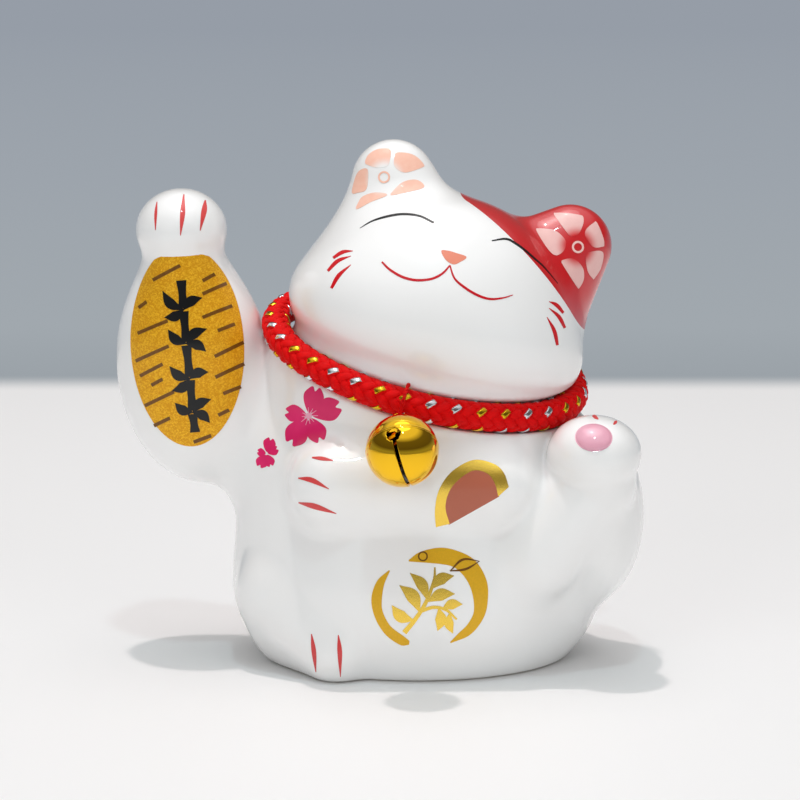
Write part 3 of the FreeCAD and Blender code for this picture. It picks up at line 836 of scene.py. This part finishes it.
# --- the pad of the raised foot ---
pad = Paint()
turn = circle(24)
PAD, PAD_HALF, PAD_DOME = vec(33.9, 47.6), vec(3.9, 2.9), 0.6
pad.patch(PAD + PAD_HALF * np.column_stack([np.cos(turn), np.sin(turn)]), PAD, 48, 10,
          profile=lambda r: PAD_DOME * math.sqrt(max(0.0, 1 - r * r)) + 0.02)
pad.normals = []
pad.make("paw_pad_enamel", [pink], slot="pad_glaze", replaces=["paw_pad"])


# --- the braided cord ---
def collar_at(runs):
    """Points along the collar, with the directions outwards and along, for runs in millimetres."""
    arcs = collar_arcs()
    lengths = np.array([radius * (last - first) for _, radius, first, last in arcs])
    starts = np.concatenate([[0], np.cumsum(lengths)])
    runs = np.asarray(runs, float) % starts[-1]
    place, out = np.zeros((len(runs), 3)), np.zeros((len(runs), 3))
    for (middle, radius, first, _), start, length in zip(arcs, starts, lengths):
        here = (runs >= start) & (runs <= start + length)
        angle = first + (runs[here] - start) / radius
        way = np.column_stack([np.cos(angle), np.sin(angle), np.zeros(here.sum())])
        out[here] = way
        place[here] = way * radius + vec(middle[0], middle[1], 0)
    along = np.column_stack([-out[:, 1], out[:, 0], out[:, 2]])
    return COLLAR_MIDDLE + place @ COLLAR_TURN.T, out @ COLLAR_TURN.T, along @ COLLAR_TURN.T


def collar_length():
    return sum(radius * (last - first) for _, radius, first, last in collar_arcs())


COLLAR_UP = COLLAR_TURN[:, 2]


def tube(parts, line, up, half_width, half_height, sides=8, closed=True):
    """A tube of oval section along a line; up is the direction of its smaller half-axis."""
    if closed:
        along = unit(np.roll(line, -1, 0) - np.roll(line, 1, 0))
    else:
        along = unit(np.gradient(line, axis=0))
    side = unit(np.cross(along, up))
    up = unit(np.cross(side, along))
    turn = circle(sides)
    ring_points = (line[:, None] + side[:, None] * half_width * np.cos(turn)[:, None]
                   + up[:, None] * half_height * np.sin(turn)[:, None])
    count = len(line)
    faces = [[i * sides + j, (i + 1) % count * sides + j, (i + 1) % count * sides + (j + 1) % sides,
              i * sides + (j + 1) % sides] for i in range(count if closed else count - 1) for j in range(sides)]
    if not closed:
        faces += [list(range(sides)), list(range((count - 1) * sides, count * sides))[::-1]]
    run = np.concatenate([[0], np.cumsum(np.linalg.norm(np.diff(line, axis=0), axis=1))])
    uv = np.stack(np.broadcast_arrays(run[:, None], turn[None] / (2 * math.pi)), -1)
    parts.add(ring_points.reshape(-1, 3), faces, uv=uv.reshape(-1, 2))


TURNS = 9                       # how often one strand goes round the cord
STRANDS = 8                     # strands each way
BRAID_TURN = math.radians(34)   # where round the cord the rows of stitches sit
BRAID_RADIUS, WAVE = 2.22, 0.38
STRAND_HALF, FILM_HALF = (0.98, 0.58), (0.62, 0.05)     # half width and half thickness
CORE_RADIUS = 1.9
SAMPLES = 800
runs = np.linspace(0, collar_length(), SAMPLES, endpoint=False)
turns = runs / collar_length() * TURNS
middle, outward_way, _ = collar_at(runs)


def strand_line(number, hand, film=False):
    """The middle line of one strand, which passes over two strands and under two, or of the film on it."""
    angle = hand * 2 * math.pi * turns + 2 * math.pi * number / STRANDS + BRAID_TURN
    phase = hand * 8 * math.pi * turns + math.pi * number - math.pi / 4
    height = hand * WAVE * np.cos(phase)
    if film:
        from_top = np.abs((phase + math.pi) % (2 * math.pi) - math.pi)
        height += STRAND_HALF[1] + 0.03 - 0.4 * np.clip((from_top - 0.95) / 0.35, 0, 1)
    way = outward_way * np.cos(angle)[:, None] + COLLAR_UP * np.sin(angle)[:, None]
    return middle + way * (BRAID_RADIUS + height)[:, None], way


strands = Parts()
for hand in (1, -1):
    for number in range(STRANDS):
        line, way = strand_line(number, hand)
        tube(strands, line, way, *STRAND_HALF)
strands.make("braided_strands", [yarn], slot="cord", replaces=["collar_cord"])
core = Parts()
tube(core, middle, outward_way, CORE_RADIUS, CORE_RADIUS, 12)
core.make("braid_core", [core_yarn], slot="cord")
for name, film, numbers in (("silver_tinsel", silver_film, (0, 2)), ("gold_tinsel", gold_film, (4, 6))):
    tinsel = Parts()
    for number in numbers:
        line, way = strand_line(number, 1, film=True)
        tube(tinsel, line, way, *FILM_HALF, 6)
    tinsel.make(name, [film], slot="cord")

# --- the thread wrapped round the joint of the cord at the nape ---
WRAP_SPAN, WRAP_PITCH, WRAP_THREAD = 13.4, 0.74, 0.38
arcs = collar_arcs()
nape = arcs[0][1] * (arcs[0][3] - arcs[0][2]) + arcs[1][1] * (arcs[1][3] - arcs[1][2]) / 2
winds = WRAP_SPAN / WRAP_PITCH
steps = np.linspace(0, 1, int(winds * 24))
place, way, _ = collar_at(nape + (steps - 0.5) * WRAP_SPAN)
angle = 2 * math.pi * winds * steps
spoke = way * np.cos(angle)[:, None] + COLLAR_UP * np.sin(angle)[:, None]
wrap = Parts()
tube(wrap, place + spoke * (CORD_RADIUS + WRAP_THREAD), spoke, WRAP_THREAD, WRAP_THREAD, 8, closed=False)
wrap.make("collar_thread_wrap", [thread], slot="thread", replaces=["collar_wrap"])

# --- the thread loop that carries the bell ---
joints = {joint["name"]: joint for joint in frame["joints"]}
tie_middle, eye_hinge, bell_middle = (vec(*joints[name]["pos_m"]) / MM
                                      for name in ("bell_lift", "bell_swing", "pellet_roll"))
tie_along = -vec(*joints["bell_lift"]["axis"])
loop_up = unit(tie_middle - eye_hinge)
stem = unit(eye_hinge - bell_middle)
loop_top = tie_middle + loop_up * (CORD_RADIUS + 0.52)
loop_middle = (loop_top + eye_hinge) / 2
loop_radius = np.linalg.norm(loop_top - eye_hinge) / 2
front = np.cross(loop_up, tie_along)
tie = Parts()
turn = circle(120)
spoke = loop_up * np.cos(turn)[:, None] + front * np.sin(turn)[:, None]
for ply in (0, math.pi):
    twist = 14 * turn + ply
    line = loop_middle + spoke * (loop_radius + 0.18 * np.cos(twist))[:, None] \
        + tie_along * 0.18 * np.sin(twist)[:, None]
    tube(tie, line, spoke, 0.26, 0.26, 8)
rng = random.Random(7)
knot = loop_middle + unit(-front * 0.75 - loop_up * 0.66) * (loop_radius + 0.3)
for k in range(3):
    axis = unit(vec(rng.uniform(-1, 1), rng.uniform(-1, 1), rng.uniform(-1, 1)))
    one = unit(np.cross(axis, stem))
    two = np.cross(axis, one)
    line = knot + one * 0.42 * np.cos(turn[::5])[:, None] + two * 0.36 * np.sin(turn[::5])[:, None]
    tube(tie, line, np.broadcast_to(axis, line.shape), 0.24, 0.24, 6)
for k in range(4):
    reach = vec(rng.uniform(-1, 1), -0.4, rng.uniform(0.2, 1.0))
    end = knot + tie_along * rng.uniform(-1.6, 1.6) - front * 0.5 + unit(reach) * rng.uniform(0.4, 1.0)
    bend = (knot + end) / 2 - front * 0.3
    line = curve([knot, bend, end], 12)
    tube(tie, line, np.broadcast_to(stem, line.shape), 0.09, 0.09, 5, closed=False)
tie.make("bell_thread", [thread], body="tie", slot="thread", replaces=["bell_tie"])

# --- the bell ---
BELL_RADIUS, BELL_WALL = 7.55, 0.45
SLOT_HALF, SLOT_ANGLE, SLOT_TURN, KEYHOLE = 0.32, math.radians(77.5), math.radians(-25), 1.45
bell_back = -unit(vec(*joints["bell_swing"]["axis"]))
bell_axes = np.column_stack([np.cross(bell_back, stem), bell_back, stem])


def bell_shell(p, upper):
    """One half of the bell in its own frame, with a rolled lip at the seam."""
    reach = np.linalg.norm(p, axis=-1)
    shell = np.abs(reach - BELL_RADIUS + BELL_WALL / 2) - BELL_WALL / 2
    height = p[..., 2] if upper else -p[..., 2]
    across = np.hypot(p[..., 0], p[..., 1])
    lip = np.hypot(across - BELL_RADIUS + 0.13, height - 0.16) - 0.15
    half = join(-join(-shell, height - 0.02, 0.1), lip, 0.25)
    if upper:
        boss = np.maximum(across - 1.6, np.abs(p[..., 2] - BELL_RADIUS) - 0.25)
        return join(half, boss, 0.3)
    c, s = math.cos(SLOT_TURN), math.sin(SLOT_TURN)
    x, y, z = p[..., 0] * c + p[..., 1] * s, -p[..., 0] * s + p[..., 1] * c, p[..., 2]
    slot_gap = np.maximum(np.abs(x) - SLOT_HALF, np.abs(y) * math.cos(SLOT_ANGLE) + z * math.sin(SLOT_ANGLE))
    along = np.abs(y) * math.sin(SLOT_ANGLE) - z * math.cos(SLOT_ANGLE)
    over = np.abs(y) * math.cos(SLOT_ANGLE) + z * math.sin(SLOT_ANGLE)
    ragged = np.arctan2(over, x)
    edge = KEYHOLE * (1 + 0.05 * np.sin(5 * ragged + 1) + 0.03 * np.sin(11 * ragged))
    hole = np.maximum(np.hypot(x, over) - edge, -along)
    return cut(half, join(slot_gap, hole, 0.3), 0.22)


for name, upper, node in (("bell_upper_half", True, "bell_upper_shell"),
                          ("bell_lower_half", False, "bell_lower_shell")):
    def half_bell(p):
        return bell_shell(p, upper)

    low, high = (-8.1, -8.1, -0.6 if upper else -8.1), (8.1, 8.1, 8.3 if upper else 0.6)
    points, quads = surface(half_bell, low, high, 0.14, passes=4)
    normals = slope(half_bell, points, 0.02)
    piece(name, bell_middle + points @ bell_axes.T, quads, [bell_gold], body="bell", slot="bell_metal",
          normals=normals @ bell_axes.T, replaces=[node])

for node, look in (("bell_eye", bell_gold), ("bell_pellet", steel), ("base_stopper", rubber)):
    for holder in frame["nodes"][node].material_slots:
        holder.material = look

# --- floor, surroundings, lights and camera ---
def ramp_between(tree, stops):
    """A colour ramp from (position, colour) stops, of which the first and last come first."""
    ramp = add_node(tree, "ValToRGB")
    ends = ramp.color_ramp.elements
    for end, (position, shade) in zip((ends[0], ends[1]), stops):
        end.position, end.color = position, shade
    for position, shade in stops[2:]:
        ends.new(position).color = shade
    return ramp


TABLE_EDGE = (0.335, 0.368)     # the white table fades into the backdrop between these distances
TABLE_HALF = 6.0
mesh = bpy.data.meshes.new("floor")
mesh.from_pydata([(x * TABLE_HALF, y * TABLE_HALF, 0.0) for x, y in ((-1, -1), (1, -1), (1, 1), (-1, 1))],
                 [], [(0, 1, 2, 3)])
floor = bpy.data.objects.new("floor", mesh)
bpy.context.scene.collection.objects.link(floor)
table_look = material("table", colour(238, 238, 238), roughness=0.6, speckle=0.01, grain=3.0)
tree = table_look.node_tree
split_axes = add_node(tree, "SeparateXYZ")
link(coordinates(tree, "Object"), split_axes.inputs["Vector"])
fade = add_node(tree, "MapRange", From_Min=TABLE_EDGE[0], From_Max=TABLE_EDGE[1])
fade.interpolation_type = "SMOOTHSTEP"
link(split_axes.outputs["Y"], fade.inputs["Value"])
# Past TABLE_EDGE the table glows as an emission instead of being lit by the lamps. This is painted backdrop
# light in grey-blue, a little brighter just past the edge and darker further away.
far = add_node(tree, "MapRange", From_Max=2.5)
link(split_axes.outputs["Y"], far.inputs["Value"])
ramp = ramp_between(tree, [
    (0.145, colour(155, 162, 168)), (0.95, colour(150, 157, 167)),
    (0.19, colour(161, 168, 174)), (0.40, colour(157, 164, 172))])
link(far.outputs["Result"], ramp.inputs["Fac"])
backdrop = add_node(tree, "Emission")
link(ramp.outputs["Color"], backdrop.inputs["Color"])
blend_look = add_node(tree, "MixShader")
link(fade.outputs["Result"], blend_look.inputs["Fac"])
link(tree.nodes["Principled BSDF"].outputs["BSDF"], blend_look.inputs[1])
link(backdrop.outputs["Emission"], blend_look.inputs[2])
link(blend_look.outputs["Shader"], tree.nodes["Material Output"].inputs["Surface"])
floor.data.materials.append(table_look)

world = bpy.data.worlds.new("studio")
bpy.context.scene.world = world
world.use_nodes = True
tree = world.node_tree
add_node(tree, "TexCoord")
split_axes = add_node(tree, "SeparateXYZ")
link(coordinates(tree, "Generated"), split_axes.inputs["Vector"])
ramp = ramp_between(tree, [
    (0.10, colour(158, 165, 172)), (1.0, (1.0, 1.0, 1.0, 1.0)), (0.25, (0.12, 0.11, 0.10, 1.0)),
    (0.60, (0.16, 0.15, 0.14, 1.0)), (0.80, (0.95, 0.95, 0.96, 1.0))])
link(split_axes.outputs["Z"], ramp.inputs["Fac"])
link(ramp.outputs["Color"], tree.nodes["Background"].inputs["Color"])
tree.nodes["Background"].inputs["Strength"].default_value = 0.85


def lamp(name, place, aim, size, power, tint=(1, 1, 1), mirrored=True):
    light = bpy.data.lights.new(name, "AREA")
    light.shape = "DISK"
    light.size, light.energy, light.color = size, power, tint
    thing = bpy.data.objects.new(name, light)
    thing.visible_glossy = mirrored
    thing.location = place
    thing.rotation_euler = (Vector(aim) - Vector(place)).to_track_quat("-Z", "Y").to_euler()
    bpy.context.scene.collection.objects.link(thing)


AIM = (0.0, 0.0, 0.06)
lamp("main_spot", (-0.10, 0.05, 1.2), AIM, 0.045, 4.2, (1.0, 0.90, 0.88))
lamp("front_spot", (0.02, -0.45, 1.2), AIM, 0.07, 1.7, (0.72, 0.94, 1.0))
lamp("wide_top", (0.0, 0.1, 1.4), AIM, 1.0, 3.2)
lamp("left_fill", (-0.7, -1.1, 0.5), AIM, 0.9, 3.6, mirrored=False)
lamp("right_fill", (0.9, -1.0, 0.4), AIM, 0.9, 3.2, mirrored=False)

camera = bpy.data.objects.new("camera", bpy.data.cameras.new("camera"))
bpy.context.scene.collection.objects.link(camera)
camera.data.lens, camera.data.sensor_width = 140.8, 36.0
camera.data.clip_start, camera.data.clip_end = 0.05, 30.0
target = Vector((-0.0065, 0.0, 0.0563))
camera.location = target + 0.680 * Vector((0, -math.cos(FRONT_LEAN), math.sin(FRONT_LEAN)))
camera.rotation_euler = (target - camera.location).to_track_quat("-Z", "Y").to_euler()
bpy.context.scene.camera = camera
bpy.context.scene.view_settings.view_transform = "Standard"
